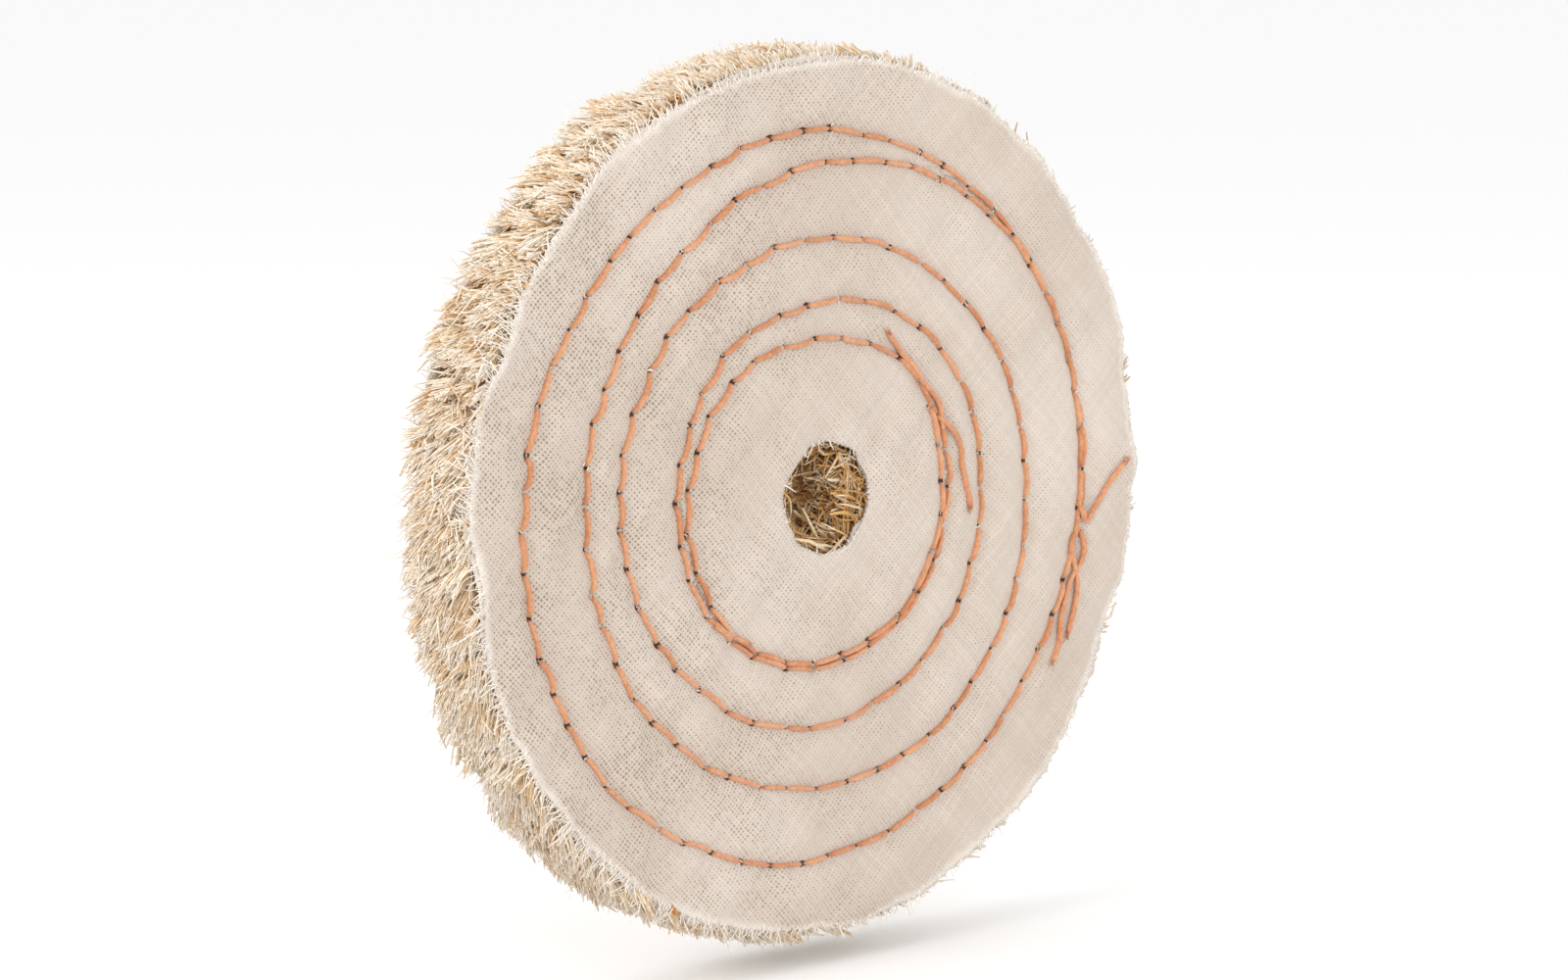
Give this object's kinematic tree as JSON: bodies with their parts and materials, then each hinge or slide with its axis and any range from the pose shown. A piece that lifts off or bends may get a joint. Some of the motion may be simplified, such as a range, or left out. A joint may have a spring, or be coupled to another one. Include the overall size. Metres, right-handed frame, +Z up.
{
  "type": "buffing wheel",
  "caption": "Round sewn sisal buffing wheel between muslin covers, with a plain arbor hole, a spiral row of thick orange stitches and a trimmed brush rim.",
  "frame": {"origin": "middle of the arbor hole, half way through the wheel's thickness", "axes": "+Y along the spin axis, from the front face to the back face; +Z up across the face; +X to the right seen from the front"},
  "size_m": [0.103, 0.0135, 0.103],
  "materials": {
    "muslin": "plain weave, unbleached cotton",
    "sisal": "coarse woven fibre with cut ends",
    "thread": "thick twisted sewing thread"
  },
  "bodies": {
    "root": {"front_cover": "muslin", "front_lining": "muslin", "sisal_ply_1": "sisal", "sisal_ply_2": "sisal", "sisal_ply_3": "sisal", "sisal_ply_4": "sisal", "sisal_ply_5": "sisal", "sisal_ply_6": "sisal", "back_lining": "muslin", "back_cover": "muslin", "needle_thread": "thread", "bobbin_thread": "thread", "caught_thread": "thread"}
  },
  "joints": []
}
